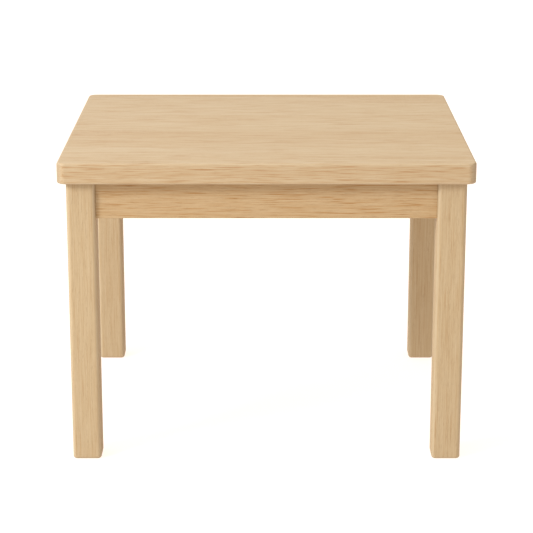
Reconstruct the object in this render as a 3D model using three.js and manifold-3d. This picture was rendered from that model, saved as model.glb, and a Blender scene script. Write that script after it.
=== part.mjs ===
// A communion table in solid oak: a thick top on four square legs, which four rails join into a frame.
//
// The rails are tenoned into the legs and stiffened by a screwed block in each corner. Wooden buttons,
// screwed up into the top, hold it down on the rails and let it shrink and swell across its grain.
//
// Millimetres. X runs along the width, Y from the front to the back, Z up. The origin is on the floor,
// below the middle of the top.
import * as THREE from "three";
import { mergeVertices } from "three/addons/utils/BufferGeometryUtils.js";
import Module from "manifold-3d";

// Driving dimensions.
const TABLE = { width: 1000, depth: 900, height: 755, overhang: 20 };
const TOP = { thickness: 51, cornerRadius: 22, edgeRadius: 5 };
const LEG = { size: 70, edgeRadius: 10, footRadius: 7 };
const RAIL = { height: 90, thickness: 26, setback: 12, edgeRadius: 1.5 };
const TENON = { length: 36, thickness: 10, height: 64 };
const BLOCK = { height: 48, thickness: 30, legClearance: 3 };
const BLOCK_SCREW = { length: 32, seat: 12, spacing: 24, counterboreRadius: 5.5 };
const BUTTON = { length: 34, width: 30, thickness: 20, tongueLength: 9, tongueThickness: 8 };
const BUTTON_SCREW_LENGTH = 40;
const BUTTON_SLOT = { depth: 10.5, play: 3 }; // play on each side of the button, along the rail
const SCREW = { shankRadius: 2.1, headRadius: 4.2, headHeight: 2.8, tipLength: 5 };
const CROSS_RECESS = { depth: 1.4, width: 1.3, reach: 2.4 };
const FIT = 0.3; // gap between pieces that touch

// Where the buttons grip the rails, from the middle of each rail.
const LONG_RAIL_BUTTONS = [-280, 0, 280];
const SHORT_RAIL_BUTTONS = [-160, 160];

// Places that follow from them.
const TOP_UNDERSIDE = TABLE.height - TOP.thickness;
const FRAME_TOP = TOP_UNDERSIDE - FIT;
const LEG_X = TABLE.width / 2 - TABLE.overhang - LEG.size / 2;
const LEG_Y = TABLE.depth / 2 - TABLE.overhang - LEG.size / 2;
const RAIL_MIDDLE_Z = FRAME_TOP - RAIL.height / 2;
const BUTTON_MIDDLE = BUTTON.length / 2; // from the rail's inner face

// A rail's faces, from the middle of its legs towards the table's middle.
const RAIL_OUTER_FACE = RAIL.setback - LEG.size / 2;
const RAIL_INNER_FACE = RAIL_OUTER_FACE + RAIL.thickness;
const RAIL_MIDDLE = (RAIL_OUTER_FACE + RAIL_INNER_FACE) / 2;

// A corner block lies across its corner, clear of the leg's rounded inner edge. Its near and far faces
// meet each rail at these distances from the point where the two rails' inner faces would cross.
const LEG_EDGE_IN = LEG.edgeRadius * (1 - Math.SQRT1_2);
const BLOCK_NEAR = 2 * (LEG.size / 2 - RAIL_INNER_FACE - LEG_EDGE_IN) + BLOCK.legClearance * Math.SQRT2;
const BLOCK_FAR = BLOCK_NEAR + BLOCK.thickness * Math.SQRT2;
const BLOCK_SCREW_AT = (BLOCK_NEAR + BLOCK_FAR) / 2;
const BLOCK_SCREW_HEIGHTS = [-BLOCK_SCREW.spacing / 2, BLOCK_SCREW.spacing / 2];

const QUARTER_TURN = Math.PI / 2;
const ROUND_SIDES = 12;
const MERGE_TOLERANCE = 1e-4;
const OVERCUT = 1; // how far a cutter passes the face that it opens
const SCREW_HOLE = SCREW.shankRadius + FIT;

const OAK = new THREE.MeshStandardMaterial({ color: 0xd6b58b, roughness: 0.5, metalness: 0 });
const BEECH = new THREE.MeshStandardMaterial({ color: 0xcfa878, roughness: 0.6, metalness: 0 });
const STEEL = new THREE.MeshStandardMaterial({ color: 0xb9b7b0, roughness: 0.35, metalness: 1 });

const wasm = await Module();
wasm.setup();

// ---- Shapes ----------------------------------------------------------------------------------------

// A closed geometry as a solid that can be joined and cut.
function toSolid(geometry) {
  const bare = geometry.clone();
  bare.deleteAttribute("normal");
  bare.deleteAttribute("uv");
  const merged = mergeVertices(bare, MERGE_TOLERANCE);
  const vertProperties = merged.attributes.position.array;
  const triVerts = new Uint32Array(merged.index.array);
  return new wasm.Manifold(new wasm.Mesh({ numProp: 3, vertProperties, triVerts }));
}

// A solid as a geometry with flat faces.
function toGeometry(solid) {
  const { vertProperties, triVerts } = solid.getMesh();
  const indexed = new THREE.BufferGeometry();
  indexed.setAttribute("position", new THREE.BufferAttribute(vertProperties, 3));
  indexed.setIndex(new THREE.BufferAttribute(triVerts, 1));
  const geometry = indexed.toNonIndexed();
  geometry.computeVertexNormals();
  return geometry;
}

// A box from its lowest to its highest corner.
function box([x0, y0, z0], [x1, y1, z1]) {
  const geometry = new THREE.BoxGeometry(x1 - x0, y1 - y0, z1 - z0);
  return toSolid(geometry.translate((x0 + x1) / 2, (y0 + y1) / 2, (z0 + z1) / 2));
}

// A round hole's cutter from one point to another.
function hole(radius, from, to) {
  const start = new THREE.Vector3(...from);
  const along = new THREE.Vector3(...to).sub(start);
  const length = along.length();
  const geometry = new THREE.CylinderGeometry(radius, radius, length, ROUND_SIDES);
  const turn = new THREE.Quaternion().setFromUnitVectors(new THREE.Vector3(0, 1, 0), along.normalize());
  geometry.translate(0, length / 2, 0).applyQuaternion(turn).translate(...start.toArray());
  return toSolid(geometry);
}

function cutAll(solid, cutters) {
  return cutters.reduce((rest, cutter) => rest.subtract(cutter), solid);
}

function roundedRectangle(width, depth, radius) {
  const x = width / 2 - radius;
  const y = depth / 2 - radius;
  const shape = new THREE.Shape();
  shape.absarc(x, y, radius, 0, QUARTER_TURN);
  shape.absarc(-x, y, radius, QUARTER_TURN, 2 * QUARTER_TURN);
  shape.absarc(-x, -y, radius, 2 * QUARTER_TURN, 3 * QUARTER_TURN);
  shape.absarc(x, -y, radius, 3 * QUARTER_TURN, 4 * QUARTER_TURN);
  return shape;
}

// An upright block on Z = 0, with rounded corners in plan and rounded edges above and below.
function roundedBlock(width, depth, height, cornerRadius, edgeRadius) {
  const geometry = new THREE.ExtrudeGeometry(roundedRectangle(width, depth, cornerRadius), {
    depth: height - 2 * edgeRadius,
    curveSegments: 5,
    bevelThickness: edgeRadius,
    bevelSize: edgeRadius,
    bevelOffset: -edgeRadius,
    bevelSegments: 3,
  });
  return toSolid(geometry.translate(0, 0, edgeRadius));
}

function mesh(name, geometry, material, x, y, z) {
  const made = new THREE.Mesh(geometry, material);
  made.name = name;
  made.position.set(x, y, z);
  return made;
}

// ---- Screws ----------------------------------------------------------------------------------------

// A pan-head wood screw with a cross recess. Its shank points down from Y = 0, and its head is above.
function screwGeometry(length) {
  const { shankRadius, headRadius, headHeight, tipLength } = SCREW;
  const { depth, width, reach } = CROSS_RECESS;
  const profile = new THREE.Path();
  profile.moveTo(0, -length);
  profile.lineTo(shankRadius, -length + tipLength);
  profile.lineTo(shankRadius, 0);
  profile.lineTo(headRadius, 0);
  profile.lineTo(headRadius, headHeight / 3);
  profile.quadraticCurveTo(headRadius, headHeight, 0, headHeight);
  const body = toSolid(new THREE.LatheGeometry(profile.getPoints(3), ROUND_SIDES));
  const floor = headHeight - depth;
  const above = headHeight + OVERCUT;
  const slots = [
    box([-reach, floor, -width / 2], [reach, above, width / 2]),
    box([-width / 2, floor, -reach], [width / 2, above, reach]),
  ];
  return toGeometry(cutAll(body, slots));
}

const blockScrew = screwGeometry(BLOCK_SCREW.length);
const buttonScrew = screwGeometry(BUTTON_SCREW_LENGTH);

// ---- Top -------------------------------------------------------------------------------------------

// Every place where a button's screw comes up into the top.
function topScrewPlaces() {
  const y = -LEG_Y + RAIL_INNER_FACE + BUTTON_MIDDLE;
  const x = -LEG_X + RAIL_INNER_FACE + BUTTON_MIDDLE;
  const alongLong = LONG_RAIL_BUTTONS.flatMap((at) => [[at, y], [at, -y]]);
  const alongShort = SHORT_RAIL_BUTTONS.flatMap((at) => [[x, at], [-x, at]]);
  return [...alongLong, ...alongShort];
}

// The top about the middle of its underside, bored for the buttons' screws.
function topGeometry() {
  const slab = roundedBlock(TABLE.width, TABLE.depth, TOP.thickness, TOP.cornerRadius, TOP.edgeRadius);
  const reach = BUTTON_SCREW_LENGTH - BUTTON.thickness;
  const bores = topScrewPlaces().map(([x, y]) => hole(SCREW_HOLE, [x, y, -OVERCUT], [x, y, reach]));
  return toGeometry(cutAll(slab, bores));
}

// ---- Corners ---------------------------------------------------------------------------------------

// A leg standing on the floor, as at the front left corner: its mortises open in its +X and +Y faces.
// The blank is longer than the leg and is sawn off square at the top.
function legGeometry() {
  const half = LEG.size / 2;
  const blankLength = FRAME_TOP + 2 * LEG.footRadius;
  const blank = roundedBlock(LEG.size, LEG.size, blankLength, LEG.edgeRadius, LEG.footRadius);
  const end = half - TENON.length - FIT;
  const near = RAIL_MIDDLE - TENON.thickness / 2 - FIT;
  const far = RAIL_MIDDLE + TENON.thickness / 2 + FIT;
  const bottom = RAIL_MIDDLE_Z - TENON.height / 2 - FIT;
  const top = RAIL_MIDDLE_Z + TENON.height / 2 + FIT;
  const cutters = [
    box([-half, -half, FRAME_TOP], [half, half, blankLength + OVERCUT]),
    box([end, near, bottom], [half + OVERCUT, far, top]),
    box([near, end, bottom], [far, half + OVERCUT, top]),
  ];
  return toGeometry(cutAll(blank, cutters));
}

// A corner block about the crossing of the rails' inner faces, halfway up. Two screws go into each
// rail, and their heads sit in counterbores.
function blockGeometry() {
  const outline = new THREE.Shape([
    new THREE.Vector2(BLOCK_NEAR, FIT),
    new THREE.Vector2(BLOCK_FAR, FIT),
    new THREE.Vector2(FIT, BLOCK_FAR),
    new THREE.Vector2(FIT, BLOCK_NEAR),
  ]);
  const blank = new THREE.ExtrudeGeometry(outline, { depth: BLOCK.height, bevelEnabled: false });
  const at = BLOCK_SCREW_AT;
  const { seat, counterboreRadius } = BLOCK_SCREW;
  const cutters = BLOCK_SCREW_HEIGHTS.flatMap((z) => [
    hole(SCREW_HOLE, [at, -OVERCUT, z], [at, seat + OVERCUT, z]),
    hole(counterboreRadius, [at, seat, z], [at, BLOCK_FAR, z]),
    hole(SCREW_HOLE, [-OVERCUT, at, z], [seat + OVERCUT, at, z]),
    hole(counterboreRadius, [seat, at, z], [BLOCK_FAR, at, z]),
  ]);
  return toGeometry(cutAll(toSolid(blank.translate(0, 0, -BLOCK.height / 2)), cutters));
}

const legShape = legGeometry();
const blockShape = blockGeometry();

// One corner, built about the middle of its leg as the front left one. Its screws are named a where
// they go into the rail on the leg's +X side, and b on its +Y side.
function corner(name) {
  const group = new THREE.Group();
  const crossing = RAIL_INNER_FACE;
  const at = crossing + BLOCK_SCREW_AT;
  const seat = crossing + BLOCK_SCREW.seat + FIT;
  group.add(mesh(`leg_${name}`, legShape, OAK, 0, 0, 0));
  group.add(mesh(`corner_block_${name}`, blockShape, BEECH, crossing, crossing, RAIL_MIDDLE_Z));
  BLOCK_SCREW_HEIGHTS.forEach((height) => {
    const level = height < 0 ? "lower" : "upper";
    const z = RAIL_MIDDLE_Z + height;
    const screwA = mesh(`block_screw_${name}_${level}_a`, blockScrew, STEEL, at, seat, z);
    const screwB = mesh(`block_screw_${name}_${level}_b`, blockScrew, STEEL, seat, at, z);
    screwB.rotation.z = -QUARTER_TURN;
    group.add(screwA, screwB);
  });
  return group;
}

// ---- Rails and buttons -----------------------------------------------------------------------------

// A rail's body between its legs, with its lower edges rounded.
function railBlank(length) {
  const y = RAIL.thickness / 2;
  const z = RAIL.height / 2;
  const radius = RAIL.edgeRadius;
  const section = new THREE.Shape();
  section.moveTo(y, z);
  section.lineTo(-y, z);
  section.absarc(-y + radius, -z + radius, radius, 2 * QUARTER_TURN, 3 * QUARTER_TURN);
  section.absarc(y - radius, -z + radius, radius, 3 * QUARTER_TURN, 4 * QUARTER_TURN);
  const bar = new THREE.ExtrudeGeometry(section, { depth: length, curveSegments: 3, bevelEnabled: false });
  return toSolid(bar.translate(0, 0, -length / 2).rotateX(QUARTER_TURN).rotateZ(QUARTER_TURN));
}

// A rail about its own middle, with its outer face towards -Y: two tenons, a slot for each button's
// tongue, and holes for the corner blocks' screws.
function railGeometry(span, buttons) {
  const inner = RAIL.thickness / 2;
  const reach = span / 2 + TENON.length;
  const tenons = box(
    [-reach, -TENON.thickness / 2, -TENON.height / 2],
    [reach, TENON.thickness / 2, TENON.height / 2],
  );
  const slotBottom = RAIL.height / 2 - BUTTON.thickness;
  const slotTop = slotBottom + BUTTON.tongueThickness + 2 * FIT;
  const slotHalf = BUTTON.width / 2 + BUTTON_SLOT.play;
  const slots = buttons.map((x) =>
    box([x - slotHalf, inner - BUTTON_SLOT.depth, slotBottom], [x + slotHalf, inner + OVERCUT, slotTop]),
  );
  const screwX = span / 2 + LEG.size / 2 - RAIL_INNER_FACE - BLOCK_SCREW_AT;
  const screwEnd = inner - BLOCK_SCREW.length + BLOCK_SCREW.seat;
  const bores = [-screwX, screwX].flatMap((x) =>
    BLOCK_SCREW_HEIGHTS.map((z) => hole(SCREW_HOLE, [x, screwEnd, z], [x, inner + OVERCUT, z])),
  );
  return toGeometry(cutAll(railBlank(span - 2 * FIT).add(tenons), [...slots, ...bores]));
}

// A button below the top's underside, Z = 0. The rail's inner face is Y = 0, and the tongue reaches
// through it into the rail's slot.
function buttonGeometry() {
  const { length, width, thickness, tongueLength, tongueThickness } = BUTTON;
  const body = box([-width / 2, FIT, -thickness], [width / 2, length, -FIT]);
  const tongue = box(
    [-width / 2, -tongueLength, -thickness],
    [width / 2, BUTTON_MIDDLE, tongueThickness - thickness],
  );
  const bore = hole(SCREW_HOLE, [0, BUTTON_MIDDLE, -thickness - OVERCUT], [0, BUTTON_MIDDLE, OVERCUT]);
  return toGeometry(body.add(tongue).subtract(bore));
}

const buttonShape = buttonGeometry();

// One side of the frame, built as the front one: a rail with its buttons and their screws.
function side(name, span, buttons, legDistance) {
  const group = new THREE.Group();
  const innerY = RAIL_INNER_FACE - legDistance;
  const rail = railGeometry(span, buttons);
  group.add(mesh(`rail_${name}`, rail, OAK, 0, RAIL_MIDDLE - legDistance, RAIL_MIDDLE_Z));
  buttons.forEach((x, i) => {
    const number = i + 1;
    const screwY = innerY + BUTTON_MIDDLE;
    const screwZ = TOP_UNDERSIDE - BUTTON.thickness - FIT;
    const screw = mesh(`button_screw_${name}_${number}`, buttonScrew, STEEL, x, screwY, screwZ);
    screw.rotation.x = -QUARTER_TURN;
    group.add(mesh(`button_${name}_${number}`, buttonShape, BEECH, x, innerY, TOP_UNDERSIDE), screw);
  });
  return group;
}

// ---- Assembly --------------------------------------------------------------------------------------

const table = new THREE.Group();
table.name = "communion_table";
table.add(mesh("tabletop", topGeometry(), OAK, 0, 0, TOP_UNDERSIDE));

// Each corner is the front left one, and each side the front one, turned further round the table.
const CORNERS = [
  ["front_left", -LEG_X, -LEG_Y],
  ["front_right", LEG_X, -LEG_Y],
  ["back_right", LEG_X, LEG_Y],
  ["back_left", -LEG_X, LEG_Y],
];
CORNERS.forEach(([name, x, y], i) => {
  const group = corner(name);
  group.position.set(x, y, 0);
  group.rotation.z = i * QUARTER_TURN;
  table.add(group);
});

const LONG_SPAN = 2 * LEG_X - LEG.size;
const SHORT_SPAN = 2 * LEG_Y - LEG.size;
const SIDES = [
  ["front", LONG_SPAN, LONG_RAIL_BUTTONS, LEG_Y],
  ["right", SHORT_SPAN, SHORT_RAIL_BUTTONS, LEG_X],
  ["back", LONG_SPAN, LONG_RAIL_BUTTONS, LEG_Y],
  ["left", SHORT_SPAN, SHORT_RAIL_BUTTONS, LEG_X],
];
SIDES.forEach(([name, span, buttons, legDistance], i) => {
  const group = side(name, span, buttons, legDistance);
  group.rotation.z = i * QUARTER_TURN;
  table.add(group);
});

export default table;
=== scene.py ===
"""How a solid oak communion table looks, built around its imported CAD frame.

Every CAD node is replaced by a finer piece in the same place: rounded, mortised and bored woodwork, and
threaded screws. Metres. X runs along the width, Y from the front to the back, Z up.
"""
import math
from collections import namedtuple

import bmesh
import bpy
from mathutils import Matrix, Vector


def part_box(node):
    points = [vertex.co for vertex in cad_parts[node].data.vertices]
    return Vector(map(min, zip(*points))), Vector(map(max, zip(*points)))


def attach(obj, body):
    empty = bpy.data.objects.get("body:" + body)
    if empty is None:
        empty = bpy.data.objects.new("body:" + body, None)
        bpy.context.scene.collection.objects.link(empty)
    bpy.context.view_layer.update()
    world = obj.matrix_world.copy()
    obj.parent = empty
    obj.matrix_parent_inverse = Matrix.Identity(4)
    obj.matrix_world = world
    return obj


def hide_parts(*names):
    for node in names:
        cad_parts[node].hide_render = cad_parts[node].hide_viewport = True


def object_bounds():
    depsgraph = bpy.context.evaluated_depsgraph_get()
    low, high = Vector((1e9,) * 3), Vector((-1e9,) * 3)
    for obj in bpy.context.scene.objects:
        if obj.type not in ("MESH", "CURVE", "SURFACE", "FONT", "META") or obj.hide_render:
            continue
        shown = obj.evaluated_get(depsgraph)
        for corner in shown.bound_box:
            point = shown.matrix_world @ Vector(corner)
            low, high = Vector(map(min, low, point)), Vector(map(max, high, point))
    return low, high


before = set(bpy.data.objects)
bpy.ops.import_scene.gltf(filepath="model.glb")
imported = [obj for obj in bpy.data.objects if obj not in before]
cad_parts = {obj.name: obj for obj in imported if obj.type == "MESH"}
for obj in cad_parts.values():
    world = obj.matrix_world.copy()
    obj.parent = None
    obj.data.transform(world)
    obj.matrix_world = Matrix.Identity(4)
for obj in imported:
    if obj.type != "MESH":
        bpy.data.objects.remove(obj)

CAD_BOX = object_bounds()
BODY = "root"
MM = 0.001
QUARTER_TURN = math.pi / 2
SECTION_TO_YZ = Matrix(((0, 0, 1, 0), (1, 0, 0, 0), (0, 1, 0, 0), (0, 0, 0, 1)))  # and length to X
CREASE_ANGLE = math.radians(35)
FIT = 0.3 * MM  # gap between pieces that touch
OVERCUT = 1 * MM  # how far a cutter passes the face that it opens

# Roundings and joinery. Steps are the number of faces in a quarter turn, or along a side.
TOP_CORNER_RADIUS = 22 * MM
TOP_CORNER_STEPS = 20
TOP_SIDE_STEPS = (20, 18)
TOP_EDGE_RADIUS = 5 * MM
LEG_EDGE_RADIUS = 10 * MM
LEG_EDGE_STEPS = 14
LEG_SIDE_STEPS = (3, 3)
FOOT_RADIUS = 7 * MM
ROUNDING_STEPS = 8
RAIL_EDGE_RADIUS = 1.5 * MM
RAIL_EDGE_STEPS = 5
EASED_EDGE_RADIUS = 0.8 * MM
DRILL_SIDES = 32
TENON_THICKNESS = 10 * MM
TENON_HEIGHT = 64 * MM
BUTTON_TONGUE_THICKNESS = 8 * MM
BUTTON_SLOT_DEPTH = 10.5 * MM
BUTTON_SLOT_PLAY = 3 * MM
BLOCK_THICKNESS = 30 * MM
COUNTERBORE_RADIUS = 5.5 * MM
SCREW_HOLE_RADIUS = 2.4 * MM

# Screws.
SCREW_SIDES = 24
ROWS_IN_PITCH = 8
HEAD_RADIUS = 4.2 * MM
HEAD_HEIGHT = 2.8 * MM
HEAD_CHAMFER = 0.25 * MM
HEAD_STRAIGHT = 0.4  # the share of the head's height below its crown
CROWN_STEPS = 8
THREAD_RADIUS = 2.1 * MM
CORE_RADIUS = 1.5 * MM
THREAD_PITCH = 2.2 * MM
THREAD_TIP = 6 * MM
THREAD_RUN_OUT = 0.5  # pitches of plain shank below the head
RIDGE_HALF_WIDTH = 0.3  # in pitches
TIP_BLUNTNESS = 0.7  # 1 is a straight cone
RECESS_WIDTH = 1.3 * MM
RECESS_REACH = 2.4 * MM
RECESS_DEPTH = 1.6 * MM

# The camera, from the middle of the tabletop's front edge and above the floor.
CAMERA_DISTANCE = 4.381
CAMERA_HEIGHT = 1.734
CAMERA_PITCH = math.radians(15.7)
CAMERA_LENS = 127.9

# The surroundings' strength: level with the table, and what the height and the left add to it.
WORLD_LEVEL = 0.54
WORLD_OVERHEAD = 1.22
WORLD_LEFT = 0.58
WORLD_WHITE = (1.0, 1.0, 1.0)
WORLD_WARM_SIDE = (1.0, 0.88, 0.74)
WORLD_WARM_RANGE = (-0.4, 0.6)  # from white to warm, along a direction's X
KEY_PLACE = (-3.9, -3.1, 3.2)
KEY_SIZE = 1.6
KEY_POWER = 182.0  # watts
FLOOR_RADIUS = 40
FLOOR_SIDES = 96
FLOOR_ALBEDO = 0.25
FLOOR_MOTTLE = 0.02
FLOOR_GRIT_SCALE = (60.0, 60.0, 60.0)
FLOOR_GLOW = (1.01, 0.86, 0.78)

CORNERS = ("front_left", "front_right", "back_right", "back_left")
SIDES = ("front", "right", "back", "left")

Box = namedtuple("Box", "low high size middle")


def box_of(node):
    low, high = (Vector(corner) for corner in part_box(node))
    return Box(low, high, high - low, (low + high) / 2)


def nodes_named(prefix):
    return sorted(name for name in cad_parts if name.startswith(prefix))


def turned(quarters):
    return Matrix.Rotation(quarters * QUARTER_TURN, 4, "Z")


def corner_place(number):
    """Puts what is made about the middle of the front left leg, on the floor, into a corner."""
    middle = box_of(f"leg_{CORNERS[number]}").middle
    return Matrix.Translation((middle.x, middle.y, 0)) @ turned(number)


def side_place(number):
    """Puts what is made about the middle of the front rail, its outer face towards -Y, onto a side."""
    return Matrix.Translation(box_of(f"rail_{SIDES[number]}").middle) @ turned(number)


# ---- Mesh building ------------------------------------------------------------------------------------


def new_object(name, bm):
    """Makes an object from a bmesh, with its faces pointing out."""
    bmesh.ops.recalc_face_normals(bm, faces=bm.faces)
    mesh = bpy.data.meshes.new(name)
    bm.to_mesh(mesh)
    bm.free()
    made = bpy.data.objects.new(name, mesh)
    bpy.context.scene.collection.objects.link(made)
    return made


def copied(template, matrix):
    """A copy with its vertices moved, because every object itself stays at the origin."""
    mesh = template.data.copy()
    mesh.transform(matrix)
    made = bpy.data.objects.new(template.name, mesh)
    bpy.context.scene.collection.objects.link(made)
    return made


def discard(*objects):
    for unwanted in objects:
        bpy.data.meshes.remove(unwanted.data)


def arc(radius, start, end, steps):
    """Points of a circular arc round the origin, both ends included."""
    angles = [start + (end - start) * i / steps for i in range(steps + 1)]
    return [(radius * math.cos(a), radius * math.sin(a)) for a in angles]


def between(start, end, steps):
    """The evenly spaced points strictly between two points."""
    return [tuple(a + (b - a) * i / steps for a, b in zip(start, end)) for i in range(1, steps)]


def outline(size, radius, inset, corner_steps, side_steps):
    """A rounded rectangle's points, drawn in by inset: a corner, then the side after it, four times."""
    x, y = size.x / 2 - radius, size.y / 2 - radius
    corners = []
    for quarter, (cx, cy) in enumerate(((x, y), (-x, y), (-x, -y), (x, -y))):
        start = quarter * QUARTER_TURN
        bend = arc(radius - inset, start, start + QUARTER_TURN, corner_steps)
        corners.append([(cx + dx, cy + dy) for dx, dy in bend])
    points = []
    for quarter, corner in enumerate(corners):
        following = corners[(quarter + 1) % 4]
        points += corner + between(corner[-1], following[0], side_steps[quarter % 2])
    return points


def close_with_grid(bm, ring, size, radius, corner_steps, side_steps, z):
    """Closes a rounded rectangle's ring with a grid between its sides and a fan at each corner."""
    across, along = side_steps
    x, y = size.x / 2 - radius, size.y / 2 - radius
    grid = [
        [bm.verts.new((x - 2 * x * i / across, y - 2 * y * j / along, z)) for j in range(along + 1)]
        for i in range(across + 1)
    ]
    back = [grid[i][0] for i in range(across + 1)]
    left = [grid[across][j] for j in range(along + 1)]
    front = [grid[across - i][along] for i in range(across + 1)]
    right = [grid[0][along - j] for j in range(along + 1)]
    at = 0
    for border in (back, left, front, right):
        for step in range(at, at + corner_steps):
            bm.faces.new((border[0], ring[step], ring[step + 1]))
        at += corner_steps
        for first, second in zip(border, border[1:]):
            bm.faces.new((first, ring[at], ring[(at + 1) % len(ring)], second))
            at += 1
    for i in range(across):
        for j in range(along):
            bm.faces.new((grid[i][j], grid[i + 1][j], grid[i + 1][j + 1], grid[i][j + 1]))


def rounded_block(name, size, radius, profile, corner_steps, side_steps):
    """A block with rounded upright corners. The profile lists (inset, height) from the bottom up."""
    bm = bmesh.new()
    rings = []
    for inset, z in profile:
        points = outline(size, radius, inset, corner_steps, side_steps)
        rings.append([bm.verts.new((x, y, z)) for x, y in points])
    for lower, upper in zip(rings, rings[1:]):
        for i in range(len(lower)):
            j = (i + 1) % len(lower)
            bm.faces.new((lower[i], lower[j], upper[j], upper[i]))
    for ring, (_, z) in ((rings[0], profile[0]), (rings[-1], profile[-1])):
        close_with_grid(bm, ring, size, radius, corner_steps, side_steps, z)
    return new_object(name, bm)


def bottom_rounding(radius):
    """A profile's start: in from the edge on the flat, then round to the upright face."""
    bend = arc(radius, -QUARTER_TURN, -2 * QUARTER_TURN, ROUNDING_STEPS)
    return [(radius + FIT, 0)] + [(radius + x, radius + z) for x, z in bend]


def bevelled_box(name, low, high, radius=0.0):
    """A box from its lowest to its highest corner. A radius rounds all its edges."""
    low, high = Vector(low), Vector(high)
    bm = bmesh.new()
    bmesh.ops.create_cube(bm, size=1)
    bmesh.ops.scale(bm, vec=high - low, verts=bm.verts)
    bmesh.ops.translate(bm, vec=(low + high) / 2, verts=bm.verts)
    if radius:
        bmesh.ops.bevel(bm, geom=bm.edges, offset=radius, segments=4, profile=0.5, affect="EDGES")
    return new_object(name, bm)


def prism(name, points, length, radius=0.0):
    """An outline in XY drawn out along Z, about Z = 0. A radius rounds all its edges."""
    bm = bmesh.new()
    lower, upper = ([bm.verts.new((x, y, z)) for x, y in points] for z in (-length / 2, length / 2))
    bm.faces.new(lower)
    bm.faces.new(upper)
    for i in range(len(points)):
        j = (i + 1) % len(points)
        bm.faces.new((lower[i], lower[j], upper[j], upper[i]))
    bmesh.ops.recalc_face_normals(bm, faces=bm.faces)
    if radius:
        bmesh.ops.bevel(bm, geom=bm.edges, offset=radius, segments=3, profile=0.5, affect="EDGES")
    return new_object(name, bm)


def drill(radius, start, end):
    """A round cutter from one point to another."""
    start, end = Vector(start), Vector(end)
    bm = bmesh.new()
    size = {"radius1": radius, "radius2": radius, "depth": (end - start).length}
    bmesh.ops.create_cone(bm, cap_ends=True, segments=DRILL_SIDES, **size)
    turn = Vector((0, 0, 1)).rotation_difference(end - start).to_matrix().to_4x4()
    bmesh.ops.transform(bm, matrix=Matrix.Translation((start + end) / 2) @ turn, verts=bm.verts)
    return new_object("drill", bm)


def settle(target):
    """Applies an object's modifiers."""
    bpy.context.view_layer.update()
    evaluated = target.evaluated_get(bpy.context.evaluated_depsgraph_get())
    before = target.data
    target.data = bpy.data.meshes.new_from_object(evaluated)
    target.modifiers.clear()
    bpy.data.meshes.remove(before)


def combine(target, tools, operation):
    """Cuts tools from an object, or joins them to it, and removes them."""
    for tool in tools:
        change = target.modifiers.new("shape", "BOOLEAN")
        change.operation = operation
        change.solver = "EXACT"
        change.object = tool
    settle(target)
    discard(*tools)


def shade(target):
    """Smooth shading that stays sharp at corners, and flat on the flats."""
    target.data.shade_smooth()
    target.data.set_sharp_from_angle(angle=CREASE_ANGLE)
    weighted = target.modifiers.new("flat faces", "WEIGHTED_NORMAL")
    weighted.keep_sharp = True
    settle(target)


def stand_in(piece, node, material):
    """Lets a finished piece stand in for its CAD node."""
    piece.name = f"{node}_finished"
    piece.data.name = piece.name
    piece.data.materials.clear()
    piece.data.materials.append(material)
    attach(piece, BODY)
    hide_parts(node)


# ---- Materials ----------------------------------------------------------------------------------------


# Rotations that bring a piece's grain onto the first axis, from along X, Y or Z, or from halfway between
# X and Y.
GRAIN_X = (0.0, 0.0, 0.0)
GRAIN_Y = (0.0, 0.0, -QUARTER_TURN)
GRAIN_Z = (0.0, QUARTER_TURN, 0.0)
GRAIN_RISING = (0.0, 0.0, -QUARTER_TURN / 2)
GRAIN_FALLING = (0.0, 0.0, QUARTER_TURN / 2)

# The log and the boards glued up from it.
RING_WIDTH = 4.2 * MM
RING_STRAY = 12 * MM
RING_STRAY_SCALE = 60.0
EARLY_WOOD_RANGE = (0.5, 0.0)
LATE_WOOD_RANGE = (0.86, 1.0)
LOG_TAPER = 0.012
STAVE_WIDTH = 0.1
STAVE_SPREAD = 7.0

# Every scale is a number of features in a metre, along the grain and then across it.
TINT_SCALE = (0.3, 3.0, 3.0)
WANDER_SCALE = (2.6, 9.0, 9.0)
FIBRE_SCALE = (14.0, 520.0, 520.0)
PORE_SCALE = (60.0, 1500.0, 1500.0)
RUB_SCALE = (4.0, 7.0, 7.0)
MOTTLE_SCALE = (420.0, 420.0, 420.0)
PLATING_GRIT_SCALE = (2600.0, 2600.0, 2600.0)

# Every range says where something is absent and where it is complete. The first two are of the largest
# part of a face's direction, and of its part along the grain.
ROUNDED_RANGE = (0.985, 0.8)
END_GRAIN_RANGE = (0.3, 0.8)
RING_LINE_RANGE = (0.2, 0.7)
DARK_DASH_RANGE = (0.54, 0.74)
RINGS_FOR_DASHES = (-0.8, 1.0)
PORE_RANGE = (0.58, 0.70)
RINGS_FOR_PORES = (-0.7, 0.8)
MOTTLE_RANGE = (0.35, 0.7)

# How strongly things show over the grain's tone, whose own contrast is set by its reach.
TONE_REACH = 0.35
TINT_WEIGHT = 0.12
MEAN_RING_LINE = 0.3
PORE_STRENGTH = 0.3
# The next strength is for the rounded edges' colour: partly wear, partly a painted highlight.
WEAR_AND_HIGHLIGHT_STRENGTH = 0.35
END_GRAIN_STRENGTH = 0.6
END_RING_STRENGTH = 0.4

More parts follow.
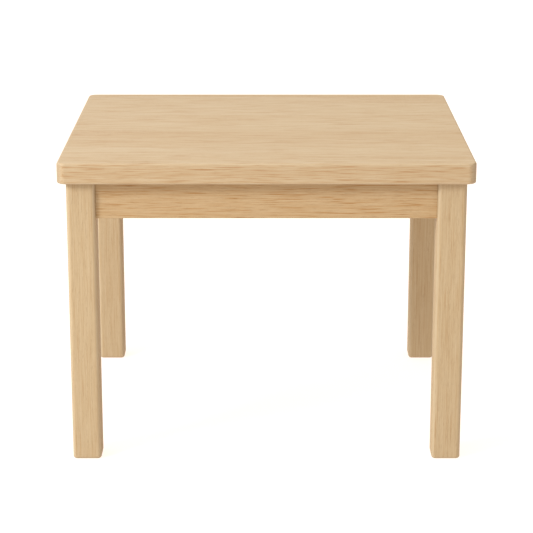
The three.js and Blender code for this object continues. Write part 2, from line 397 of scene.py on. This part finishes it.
# How much each thing shows in a piece's grain. A layer is a noise with its weight and its scale, dark is
# how strongly the darkest dashes show, and wander is how far the fibres stray across the grain.
Layer = namedtuple("Layer", "weight scale")
Figure = namedtuple("Figure", "rings broad streaks dashes dark fibres wander")
PLAIN_FIGURE = Figure(
    rings=0.24,
    broad=Layer(0.30, (1.2, 16.0, 16.0)),
    streaks=Layer(0.40, (3.5, 130.0, 130.0)),
    dashes=Layer(0.60, (13.5, 290.0, 290.0)),
    dark=0.7,
    fibres=0.45,
    wander=5 * MM,
)
TOP_FIGURE = Figure(
    rings=0.18,
    broad=Layer(0.24, (0.3, 8.0, 2.0)),
    streaks=Layer(0.32, (0.7, 50.0, 220.0)),
    dashes=Layer(0.80, (15.0, 600.0, 400.0)),
    dark=0.75,
    fibres=0.45,
    wander=2 * MM,
)
LEG_FIGURE = Figure(
    rings=0.05,
    broad=Layer(0.06, (0.8, 16.0, 16.0)),
    streaks=Layer(0.10, (2.5, 170.0, 170.0)),
    dashes=Layer(0.60, (9.0, 380.0, 380.0)),
    dark=0.5,
    fibres=0.6,
    wander=1 * MM,
)
RAIL_FIGURE = Figure(
    rings=0.16,
    broad=Layer(0.24, (0.8, 14.0, 14.0)),
    streaks=Layer(0.18, (2.2, 220.0, 220.0)),
    dashes=Layer(0.66, (16.0, 380.0, 380.0)),
    dark=0.75,
    fibres=0.45,
    wander=2 * MM,
)

# The rounded edges' colour is partly wear and partly a painted highlight, paler and greyer than the flats.
# End is the colour of end grain.
Palette = namedtuple("Palette", "pale deep streak pore worn end")
OAK = Palette(
    pale=(0.463, 0.364, 0.230),
    deep=(0.392, 0.266, 0.137),
    streak=(0.310, 0.160, 0.057),
    pore=(0.230, 0.125, 0.054),
    worn=(0.470, 0.400, 0.280),
    end=(0.310, 0.235, 0.141),
)
PALE_OAK = Palette(
    pale=(0.470, 0.371, 0.236),
    deep=(0.406, 0.297, 0.167),
    streak=(0.345, 0.208, 0.092),
    pore=(0.235, 0.135, 0.062),
    worn=(0.480, 0.410, 0.290),
    end=(0.315, 0.240, 0.145),
)
WARM_OAK = Palette(
    pale=(0.465, 0.343, 0.201),
    deep=(0.388, 0.253, 0.120),
    streak=(0.312, 0.153, 0.047),
    pore=(0.228, 0.120, 0.050),
    worn=(0.470, 0.370, 0.230),
    end=(0.310, 0.228, 0.128),
)
BEECH = Palette(
    pale=(0.490, 0.320, 0.180),
    deep=(0.390, 0.240, 0.130),
    streak=(0.330, 0.165, 0.070),
    pore=(0.240, 0.130, 0.060),
    worn=(0.505, 0.340, 0.200),
    end=(0.330, 0.220, 0.120),
)


class Nodes:
    """Builds the node tree of a material, or of the world."""

    def __init__(self, owner):
        self.owner = owner
        owner.use_nodes = True
        self.tree = owner.node_tree
        self.tree.nodes.clear()

    def add(self, kind, inputs, **settings):
        """Adds a node. Each input is a value or another node's socket."""
        made = self.tree.nodes.new(kind)
        for key, value in settings.items():
            setattr(made, key, value)
        for key, value in inputs.items():
            if isinstance(value, bpy.types.NodeSocket):
                self.tree.links.new(value, made.inputs[key])
            else:
                made.inputs[key].default_value = value
        return made

    def math(self, operation, *values):
        return self.add("ShaderNodeMath", dict(enumerate(values)), operation=operation).outputs[0]

    def vector(self, operation, *values):
        return self.add("ShaderNodeVectorMath", dict(enumerate(values)), operation=operation).outputs[0]

    def split(self, vector):
        return self.add("ShaderNodeSeparateXYZ", {0: vector}).outputs

    def noise(self, place, stretch, detail, output="Fac"):
        """Noise around 0.5. Stretch is its number of features in a metre, along each axis."""
        scaled = self.vector("MULTIPLY", place, stretch)
        inputs = {"Vector": scaled, "Scale": 1.0, "Detail": detail}
        return self.add("ShaderNodeTexNoise", inputs).outputs[output]

    def ease(self, value, low, high):
        """A smooth change from 0, where the value is low, to 1, where it is high."""
        inputs = {"Value": value, "From Min": low, "From Max": high}
        return self.add("ShaderNodeMapRange", inputs, interpolation_type="SMOOTHSTEP").outputs[0]

    def total(self, *terms):
        """The sum of (value, weight) pairs."""
        result = 0.0
        for value, weight in terms:
            result = self.math("MULTIPLY_ADD", value, weight, result)
        return result

    def mix(self, factor, first, second):
        """Colours mixed by a factor that varies over the surface."""
        inputs = {"Fac": factor}
        for key, colour in (("Color1", first), ("Color2", second)):
            inputs[key] = (*colour, 1.0) if isinstance(colour, tuple) else colour
        return self.add("ShaderNodeMixRGB", inputs).outputs[0]

    def surface(self, colour, roughness, relief, relief_depth, **uniform):
        """The shader. Uniform values sit on its own sockets, such as Metallic=1.0."""
        bump = self.add("ShaderNodeBump", {"Height": relief, "Distance": relief_depth})
        inputs = {"Base Color": colour, "Roughness": roughness, "Normal": bump.outputs[0]}
        shader = self.add("ShaderNodeBsdfPrincipled", inputs)
        for key, value in uniform.items():
            shader.inputs[key.replace("_", " ")].default_value = value
        self.add("ShaderNodeOutputMaterial", {"Surface": shader.outputs[0]})
        return self.owner


def facing(nodes, turn):
    """0 on a piece's flats, rising to 1 on its rounded edges; and 1 on its end grain, 0 elsewhere."""
    normal = nodes.add("ShaderNodeNewGeometry", {}).outputs["Normal"]
    normal = nodes.add("ShaderNodeMapping", {"Vector": normal, "Rotation": turn}).outputs[0]
    x, y, z = nodes.split(nodes.vector("ABSOLUTE", normal))
    largest = nodes.math("MAXIMUM", x, nodes.math("MAXIMUM", y, z))
    return nodes.ease(largest, *ROUNDED_RANGE), nodes.ease(x, *END_GRAIN_RANGE)


def glued_staves(nodes, place, width):
    """Moves each stave across the grain to another place in the log, and draws its tint."""
    x, y, z = nodes.split(place)
    index = nodes.math("FLOOR", nodes.math("DIVIDE", y, width))
    dice = nodes.add("ShaderNodeTexWhiteNoise", {"W": index}, noise_dimensions="1D")
    draws = nodes.split(dice.outputs["Color"])
    x = nodes.math("MULTIPLY_ADD", draws[0], STAVE_SPREAD, x)
    y = nodes.math("SUBTRACT", y, nodes.math("MULTIPLY", nodes.math("ADD", index, draws[1]), width))
    return nodes.add("ShaderNodeCombineXYZ", {0: x, 1: y, 2: z}).outputs[0], draws[2]


def growth_rings(nodes, place):
    """Rings round the log's axis, of uneven width: dark where each starts, and paler as it goes on. The
    log tapers, so a board sawn from it crosses them slowly."""
    x, y, z = nodes.split(place)
    squares = nodes.math("ADD", nodes.math("MULTIPLY", y, y), nodes.math("MULTIPLY", z, z))
    radius = nodes.math("MULTIPLY_ADD", x, LOG_TAPER, nodes.math("SQRT", squares))
    inputs = {"W": radius, "Scale": RING_STRAY_SCALE, "Detail": 1.0}
    uneven = nodes.add("ShaderNodeTexNoise", inputs, noise_dimensions="1D").outputs[0]
    radius = nodes.math("MULTIPLY_ADD", uneven, RING_STRAY, radius)
    phase = nodes.math("FRACT", nodes.math("DIVIDE", radius, RING_WIDTH))
    early, late = nodes.ease(phase, *EARLY_WOOD_RANGE), nodes.ease(phase, *LATE_WOOD_RANGE)
    return nodes.math("MAXIMUM", early, late)


def grain_place(nodes, turn):
    """Where a point is in its piece's log, with the grain along the first axis. Each piece's "log"
    property is the point in the table's frame where its log's axis is."""
    place = nodes.add("ShaderNodeTexCoord", {}).outputs["Object"]
    log = nodes.add("ShaderNodeAttribute", {}, attribute_type="OBJECT", attribute_name="log")
    place = nodes.vector("SUBTRACT", place, log.outputs["Vector"])
    return nodes.add("ShaderNodeMapping", {"Vector": place, "Rotation": turn}).outputs[0]


def wandering(nodes, place, reach):
    """The same place, moved a little across the grain as the fibres wander along the board."""
    wander = nodes.noise(place, WANDER_SCALE, 2.0, output="Color")
    wander = nodes.vector("SUBTRACT", wander, (0.5, 0.5, 0.5))
    return nodes.vector("ADD", place, nodes.vector("MULTIPLY", wander, (0.0, reach, reach)))


def wood(name, turn, palette, gloss, figure, staves=None):
    """Solid wood, whose grain the turn brings onto the first axis. The gloss is 0 on bare wood and 1 on a
    satin finish. Staves is the width of the boards that a piece is glued up from, if it is."""
    nodes = Nodes(bpy.data.materials.new(name))
    place = grain_place(nodes, turn)
    tint = nodes.noise(place, TINT_SCALE, 0.0)
    if staves:
        place, tint = glued_staves(nodes, place, staves)
    place = wandering(nodes, place, figure.wander)

    rings = growth_rings(nodes, place)
    broad = nodes.noise(place, figure.broad.scale, 1.0)
    streaks = nodes.noise(place, figure.streaks.scale, 2.0)
    dashes = nodes.noise(place, figure.dashes.scale, 1.0)
    fibres = nodes.noise(place, FIBRE_SCALE, 3.0)
    pores = nodes.ease(nodes.noise(place, PORE_SCALE, 1.0), *PORE_RANGE)
    pores = nodes.math("MULTIPLY", pores, nodes.ease(rings, *RINGS_FOR_PORES))
    ring_lines = nodes.math("MULTIPLY", rings, nodes.ease(streaks, *RING_LINE_RANGE))
    noises = (
        (broad, figure.broad.weight),
        (streaks, figure.streaks.weight),
        (dashes, figure.dashes.weight),
        (fibres, figure.fibres),
        (tint, TINT_WEIGHT),
    )
    middle = MEAN_RING_LINE * figure.rings + 0.5 * sum(weight for _, weight in noises)
    tone = nodes.total((ring_lines, figure.rings), *noises)
    tone = nodes.ease(tone, middle - TONE_REACH, middle + TONE_REACH)
    dark_dashes = nodes.ease(dashes, *DARK_DASH_RANGE)
    dark_dashes = nodes.math("MULTIPLY", dark_dashes, nodes.ease(rings, *RINGS_FOR_DASHES))
    edges, end_grain = facing(nodes, turn)

    colour = nodes.mix(tone, palette.pale, palette.deep)
    colour = nodes.mix(nodes.math("MULTIPLY", dark_dashes, figure.dark), colour, palette.streak)
    colour = nodes.mix(nodes.math("MULTIPLY", pores, PORE_STRENGTH), colour, palette.pore)
    # Rounded edges get a paler colour: partly wear, partly a painted highlight along them.
    colour = nodes.mix(nodes.math("MULTIPLY", edges, WEAR_AND_HIGHLIGHT_STRENGTH), colour, palette.worn)
    end = nodes.mix(nodes.math("MULTIPLY", rings, END_RING_STRENGTH), palette.end, palette.streak)
    colour = nodes.mix(nodes.math("MULTIPLY", end_grain, END_GRAIN_STRENGTH), colour, end)

    # The finish is duller in the pores, and uneven where hands have rubbed it.
    rubbed = nodes.noise(place, RUB_SCALE, 3.0)
    roughness = nodes.total((rubbed, 0.14), (pores, 0.12))
    roughness = nodes.math("ADD", roughness, 0.62 - 0.24 * gloss)
    relief = nodes.total((fibres, 0.5), (pores, -0.6), (tone, -0.3))
    relief_depth = (0.3 - 0.2 * gloss) * MM
    return nodes.surface(colour, roughness, relief, relief_depth, Specular_IOR_Level=0.03 + 0.45 * gloss)


def steel(name):
    """Bright zinc plating, faintly mottled and yellowed a little in places."""
    nodes = Nodes(bpy.data.materials.new(name))
    place = nodes.add("ShaderNodeTexCoord", {}).outputs["Object"]
    mottle = nodes.noise(place, MOTTLE_SCALE, 3.0)
    grit = nodes.noise(place, PLATING_GRIT_SCALE, 2.0)
    bright, yellowed = (0.62, 0.61, 0.58), (0.52, 0.47, 0.37)
    colour = nodes.mix(nodes.ease(mottle, *MOTTLE_RANGE), bright, yellowed)
    roughness = nodes.math("MULTIPLY_ADD", grit, 0.22, 0.2)
    return nodes.surface(colour, roughness, grit, 0.03 * MM, Metallic=1.0)


# ---- Woodwork -----------------------------------------------------------------------------------------


# Where each piece's log is, from the piece itself. Repeated pieces are cut from different places in it.
TOP_LOG = Vector((0.3, 0.0, -0.15))  # from the middle of the front edge
LEG_LOG_DISTANCE = 0.24
LEG_LOG_ANGLE = math.radians(50)
LEG_LOG_TURN = math.radians(115)
LEG_LOG_STEP = 1.7
X_RAIL_LOG = Vector((0.0, 0.17, -0.24))
Y_RAIL_LOG = Vector((0.21, 0.0, -0.24))
RAIL_LOG_STEP = Vector((0.0, 0.0, 0.05))
BLOCK_LOG = Vector((0.05, -0.04, -0.12))
BLOCK_LOG_STEP = Vector((0.0, 0.0, -0.03))
BUTTON_LOG = Vector((0.07, 0.05, -0.11))


def make_tabletop():
    """The top: one rounded slab, bored underneath for the buttons' screws."""
    top = box_of("tabletop")
    rounding_below = bottom_rounding(TOP_EDGE_RADIUS)
    rounding_above = [(inset, top.size.z - z) for inset, z in reversed(rounding_below)]
    profile = rounding_below + rounding_above
    slab = rounded_block("top", top.size, TOP_CORNER_RADIUS, profile, TOP_CORNER_STEPS, TOP_SIDE_STEPS)
    slab.data.transform(Matrix.Translation((top.middle.x, top.middle.y, top.low.z)))
    screws = [box_of(node) for node in nodes_named("button_screw")]
    bores = []
    for screw in screws:
        x, y = screw.middle.xy
        bores.append(drill(SCREW_HOLE_RADIUS, (x, y, top.low.z - OVERCUT), (x, y, screw.high.z + FIT)))
    combine(slab, bores, "DIFFERENCE")
    shade(slab)
    slab["log"] = Vector((0.0, top.low.y, top.middle.z)) + TOP_LOG
    stand_in(slab, "tabletop", wood("oak_top", GRAIN_X, OAK, 0.8, TOP_FIGURE, STAVE_WIDTH))


def make_legs():
    """The legs, each with two mortises for its rails' tenons."""
    leg, rail = box_of("leg_front_left"), box_of("rail_front")
    profile = bottom_rounding(FOOT_RADIUS) + [(0, leg.size.z), (FIT, leg.size.z)]
    template = rounded_block("leg", leg.size, LEG_EDGE_RADIUS, profile, LEG_EDGE_STEPS, LEG_SIDE_STEPS)
    end = rail.low.x - leg.middle.x - FIT
    face = leg.size.x / 2 + OVERCUT
    near = rail.middle.y - leg.middle.y - TENON_THICKNESS / 2 - FIT
    far = near + TENON_THICKNESS + 2 * FIT
    bottom = rail.middle.z - TENON_HEIGHT / 2 - FIT
    top = rail.middle.z + TENON_HEIGHT / 2 + FIT
    mortises = [
        bevelled_box("mortise", (end, near, bottom), (face, far, top)),
        bevelled_box("mortise", (near, end, bottom), (far, face, top)),
    ]
    combine(template, mortises, "DIFFERENCE")
    shade(template)
    material = wood("oak_legs", GRAIN_Z, PALE_OAK, 0.15, LEG_FIGURE)
    for number, corner in enumerate(CORNERS):
        leg = copied(template, corner_place(number))
        x, y, _ = corner_place(number).translation
        away = Matrix.Rotation(LEG_LOG_ANGLE + LEG_LOG_TURN * number, 2) @ Vector((LEG_LOG_DISTANCE, 0))
        leg["log"] = (x + away.x, y + away.y, LEG_LOG_STEP * number)
        stand_in(leg, f"leg_{corner}", material)
    discard(template)


def make_rails():
    """The rails, with tenons, slots for the buttons and bores for the blocks' screws."""
    leg_width = box_of("leg_front_left").size.x
    near_leg, far_leg = box_of("leg_front_left").middle, box_of("leg_back_right").middle
    materials = [
        wood("oak_rails_x", GRAIN_X, WARM_OAK, 0.15, RAIL_FIGURE),
        wood("oak_rails_y", GRAIN_Y, WARM_OAK, 0.15, RAIL_FIGURE),
    ]
    for number, side in enumerate(SIDES):
        place = side_place(number)
        rail = box_of(f"rail_{side}")
        tenon_end = max(rail.size.xy) / 2
        legs_apart = (far_leg - near_leg)[number % 2]
        half = (legs_apart - leg_width) / 2 - FIT
        y, z = min(rail.size.xy) / 2, rail.size.z / 2
        piece = prism(side, rail_section(y, z), 2 * half)
        piece.data.transform(SECTION_TO_YZ)
        low = Vector((-tenon_end, -TENON_THICKNESS / 2, -TENON_HEIGHT / 2))
        combine(piece, [bevelled_box("tenons", low, -low, EASED_EDGE_RADIUS)], "UNION")
        combine(piece, rail_cutters(side, place.inverted(), y), "DIFFERENCE")
        shade(piece)
        piece.data.transform(place)
        log = (X_RAIL_LOG, Y_RAIL_LOG)[number % 2]
        piece["log"] = rail.middle + log + RAIL_LOG_STEP * number
        stand_in(piece, f"rail_{side}", materials[number % 2])


def rail_section(y, z):
    """A rail's section about its middle, up to y and z from it, with rounded lower edges."""
    inwards, upwards = y - RAIL_EDGE_RADIUS, RAIL_EDGE_RADIUS - z
    left = arc(RAIL_EDGE_RADIUS, -2 * QUARTER_TURN, -QUARTER_TURN, RAIL_EDGE_STEPS)
    right = arc(RAIL_EDGE_RADIUS, -QUARTER_TURN, 0.0, RAIL_EDGE_STEPS)
    lower_left = [(dy - inwards, dz + upwards) for dy, dz in left]
    lower_right = [(dy + inwards, dz + upwards) for dy, dz in right]
    return [(y, z), (-y, z)] + lower_left + lower_right


def rail_cutters(side, to_rail, inner):
    """A rail's slots and screw bores, about its own middle. Its inner face is at Y = inner."""
    cutters = []
    for node in nodes_named(f"button_{side}"):
        button = box_of(node)
        x, _, _ = to_rail @ button.middle
        half = min(button.size.xy) / 2 + BUTTON_SLOT_PLAY
        floor = (to_rail @ button.low).z - FIT
        ceiling = floor + BUTTON_TONGUE_THICKNESS + 2 * FIT
        low, high = (x - half, inner - BUTTON_SLOT_DEPTH, floor), (x + half, inner + OVERCUT, ceiling)
        cutters.append(bevelled_box("slot", low, high))
    for node in nodes_named("block_screw"):
        screw = box_of(node)
        middle = to_rail @ screw.middle
        tip_y = middle.y - max(screw.size.xy) / 2
        if abs(tip_y) < inner:
            start, end = (middle.x, inner + OVERCUT, middle.z), (middle.x, tip_y - FIT, middle.z)
            cutters.append(drill(SCREW_HOLE_RADIUS, start, end))
    return cutters


def make_blocks():
    """The corner blocks. Two counterbored screws go from each into each of its rails."""
    block = box_of("corner_block_front_left")
    to_corner = corner_place(0).inverted()
    crossing = (to_corner @ block.low).x - FIT
    far = (to_corner @ block.high).x
    near = far - BLOCK_THICKNESS * math.sqrt(2)
    start = crossing + FIT
    points = [(near, start), (far, start), (start, far), (start, near)]
    template = prism("block", points, block.size.z, EASED_EDGE_RADIUS)
    template.data.transform(Matrix.Translation((0, 0, block.middle.z)))
    bores = []
    for level in ("lower", "upper"):
        screw = box_of(f"block_screw_front_left_{level}_a")
        x, _, z = to_corner @ screw.middle
        seat = (to_corner @ screw.high).y - HEAD_HEIGHT - FIT
        for flip in (False, True):
            ends = [(x, crossing - OVERCUT, z), (x, seat + OVERCUT, z), (x, seat, z), (x, far, z)]
            if flip:
                ends = [(y, x, z) for x, y, z in ends]
            bores.append(drill(SCREW_HOLE_RADIUS, ends[0], ends[1]))
            bores.append(drill(COUNTERBORE_RADIUS, ends[2], ends[3]))
    combine(template, bores, "DIFFERENCE")
    shade(template)
    rising = wood("beech_blocks_rising", GRAIN_RISING, BEECH, 0.0, PLAIN_FIGURE)
    falling = wood("beech_blocks_falling", GRAIN_FALLING, BEECH, 0.0, PLAIN_FIGURE)
    materials = [falling, rising]
    for number, corner in enumerate(CORNERS):
        piece = copied(template, corner_place(number))
        piece["log"] = box_of(f"corner_block_{corner}").middle + BLOCK_LOG + BLOCK_LOG_STEP * number
        stand_in(piece, f"corner_block_{corner}", materials[number % 2])
    discard(template)


def make_buttons():
    """The buttons: a block below the top, and a tongue that reaches into the rail's slot."""
    button, rail = box_of("button_front_1"), box_of("rail_front")
    tongue_end = button.low.y - rail.high.y
    back = button.high.y - rail.high.y
    face = FIT
    bottom, top = 0.0, button.size.z
    shoulder = BUTTON_TONGUE_THICKNESS
    points = [(tongue_end, bottom), (back, bottom), (back, top), (face, top)]
    points += [(face, shoulder), (tongue_end, shoulder)]
    template = prism("button", points, button.size.x, EASED_EDGE_RADIUS)
    template.data.transform(SECTION_TO_YZ)
    screw = box_of("button_screw_front_1")
    screw_y = screw.middle.y - rail.high.y
    combine(
        template,
        [drill(SCREW_HOLE_RADIUS, (0, screw_y, bottom - OVERCUT), (0, screw_y, top + OVERCUT))],
        "DIFFERENCE",
    )
    shade(template)
    materials = [
        wood("beech_buttons_y", GRAIN_Y, BEECH, 0.0, PLAIN_FIGURE),
        wood("beech_buttons_x", GRAIN_X, BEECH, 0.0, PLAIN_FIGURE),
    ]
    for number, side in enumerate(SIDES):
        rail = box_of(f"rail_{side}")
        inner = min(rail.size.xy) / 2
        for node in nodes_named(f"button_{side}"):
            button = box_of(node)
            x, _, _ = side_place(number).inverted() @ button.middle
            local = Matrix.Translation((x, inner, button.low.z - rail.middle.z))
            piece = copied(template, side_place(number) @ local)
            piece["log"] = button.middle + BUTTON_LOG
            stand_in(piece, node, materials[number % 2])
    discard(template)


# ---- Screws -------------------------------------------------------------------------------------------


def thread_radius(turn, height, length):
    """A threaded shank's radius: a sharp ridge that winds down it and shrinks to a point at the tip."""
    above_tip = height + length
    taper = min(1.0, above_tip / THREAD_TIP)
    run_out = min(1.0, max(0.0, -height / THREAD_PITCH - THREAD_RUN_OUT))
    phase = (height / THREAD_PITCH - turn) % 1.0
    ridge = max(0.0, 1.0 - abs(phase - 0.5) / RIDGE_HALF_WIDTH)
    core = CORE_RADIUS * taper ** TIP_BLUNTNESS
    return core + (THREAD_RADIUS - CORE_RADIUS) * ridge * run_out * taper


def make_screw(length):
    """A pan-head wood screw. Its shank points down from Z = 0, and its head is above."""
    bm = bmesh.new()
    rows = round(length / THREAD_PITCH * ROWS_IN_PITCH)
    heights = [-length * (1 - i / rows) for i in range(1, rows + 1)]
    turns = [k / SCREW_SIDES for k in range(SCREW_SIDES)]
    rings = [[(thread_radius(turn, z, length), turn, z) for turn in turns] for z in heights]
    straight = HEAD_HEIGHT * HEAD_STRAIGHT
    head = [(HEAD_RADIUS - HEAD_CHAMFER, 0.0), (HEAD_RADIUS, HEAD_CHAMFER), (HEAD_RADIUS, straight)]
    crown = arc(1.0, 0.0, QUARTER_TURN, CROWN_STEPS)[1:-1]
    head += [(HEAD_RADIUS * x, straight + (HEAD_HEIGHT - straight) * z) for x, z in crown]
    rings += [[(radius, turn, z) for turn in turns] for radius, z in head]
    made = [
        [
            bm.verts.new((r * math.cos(t * 4 * QUARTER_TURN), r * math.sin(t * 4 * QUARTER_TURN), z))
            for r, t, z in ring
        ]
        for ring in rings
    ]
    for lower, upper in zip(made, made[1:]):
        for i in range(SCREW_SIDES):
            j = (i + 1) % SCREW_SIDES
            bm.faces.new((lower[i], lower[j], upper[j], upper[i]))
    for ring, z in ((made[0], -length), (made[-1], HEAD_HEIGHT)):
        end = bm.verts.new((0, 0, z))
        for i in range(SCREW_SIDES):
            bm.faces.new((end, ring[i], ring[(i + 1) % SCREW_SIDES]))
    screw = new_object("screw", bm)
    floor, above, half = HEAD_HEIGHT - RECESS_DEPTH, HEAD_HEIGHT + OVERCUT, RECESS_WIDTH / 2
    recess = [
        bevelled_box("slot", (-RECESS_REACH, -half, floor), (RECESS_REACH, half, above)),
        bevelled_box("slot", (-half, -RECESS_REACH, floor), (half, RECESS_REACH, above)),
    ]
    combine(screw, recess, "DIFFERENCE")
    shade(screw)
    return screw


def drive(template, node, direction, material):
    """Puts a copy of a screw where its node is, with its shank along the direction."""
    screw = box_of(node)
    length = max(screw.size)
    turn = Vector((0, 0, -1)).rotation_difference(direction).to_matrix().to_4x4()
    centred = Matrix.Translation((0, 0, length / 2 - HEAD_HEIGHT))
    stand_in(copied(template, Matrix.Translation(screw.middle) @ turn @ centred), node, material)


def make_screws():
    material = steel("zinc_steel")
    button_screw = make_screw(box_of("button_screw_front_1").size.z - HEAD_HEIGHT)
    for node in nodes_named("button_screw"):
        drive(button_screw, node, Vector((0, 0, 1)), material)
    block_screw = make_screw(max(box_of("block_screw_front_left_lower_a").size) - HEAD_HEIGHT)
    for number, corner in enumerate(CORNERS):
        for node in nodes_named(f"block_screw_{corner}"):
            inwards = Vector((0, -1, 0)) if node.endswith("_a") else Vector((-1, 0, 0))
            drive(block_screw, node, turned(number) @ inwards, material)
    discard(button_screw, block_screw)


# ---- Studio -------------------------------------------------------------------------------------------


def make_floor():
    """A plain pale floor, wide enough to fill the view. It glows faintly and warmly, so it stays almost
    free of shadows and lights the table's sides from below."""
    bm = bmesh.new()
    bmesh.ops.create_circle(bm, cap_ends=True, segments=FLOOR_SIDES, radius=FLOOR_RADIUS)
    floor = new_object("studio_floor", bm)
    nodes = Nodes(bpy.data.materials.new("studio_floor"))
    place = nodes.add("ShaderNodeTexCoord", {}).outputs["Object"]
    grit = nodes.noise(place, FLOOR_GRIT_SCALE, 3.0)
    colour = nodes.mix(grit, (FLOOR_ALBEDO,) * 3, (FLOOR_ALBEDO + FLOOR_MOTTLE,) * 3)
    roughness = nodes.math("MULTIPLY_ADD", grit, 0.1, 0.85)
    glow = {"Emission_Color": (*FLOOR_GLOW, 1.0), "Emission_Strength": 1.0}
    floor.data.materials.append(nodes.surface(colour, roughness, grit, 0.0, Specular_IOR_Level=0.0, **glow))


def make_light(name, place, size, power, target):
    data = bpy.data.lights.new(name, "AREA")
    data.shape = "DISK"
    data.size = size
    data.energy = power
    light = bpy.data.objects.new(name, data)
    light.location = place
    light.rotation_euler = (target - Vector(place)).to_track_quat("-Z", "Y").to_euler()
    bpy.context.scene.collection.objects.link(light)


def make_world():
    """Surroundings that are brighter overhead and on the left, and warmer on the right."""
    nodes = Nodes(bpy.data.worlds.new("studio"))
    x, _, z = nodes.split(nodes.add("ShaderNodeTexCoord", {}).outputs["Generated"])
    overhead = nodes.math("MAXIMUM", z, 0.0)
    strength = nodes.total((overhead, WORLD_OVERHEAD), (x, -WORLD_LEFT))
    strength = nodes.math("MAXIMUM", nodes.math("ADD", strength, WORLD_LEVEL), 0.0)
    colour = nodes.mix(nodes.ease(x, *WORLD_WARM_RANGE), WORLD_WHITE, WORLD_WARM_SIDE)
    background = nodes.add("ShaderNodeBackground", {"Color": colour, "Strength": strength})
    nodes.add("ShaderNodeOutputWorld", {"Surface": background.outputs[0]})
    bpy.context.scene.world = nodes.owner


def make_studio():
    """The floor, the surroundings, and a large soft key light from the upper left of the front."""
    make_floor()
    make_world()
    bpy.context.scene.view_settings.view_transform = "Standard"
    target = (CAD_BOX[0] + CAD_BOX[1]) / 2
    make_light("key", KEY_PLACE, KEY_SIZE, KEY_POWER, target)


def make_camera():
    data = bpy.data.cameras.new("camera")
    data.lens = CAMERA_LENS
    camera = bpy.data.objects.new("camera", data)
    camera.location = (0, CAD_BOX[0].y - CAMERA_DISTANCE, CAMERA_HEIGHT)
    camera.rotation_euler = (QUARTER_TURN - CAMERA_PITCH, 0, 0)
    bpy.context.scene.collection.objects.link(camera)
    bpy.context.scene.camera = camera


make_camera()
make_studio()
make_tabletop()
make_legs()
make_rails()
make_blocks()
make_buttons()
make_screws()
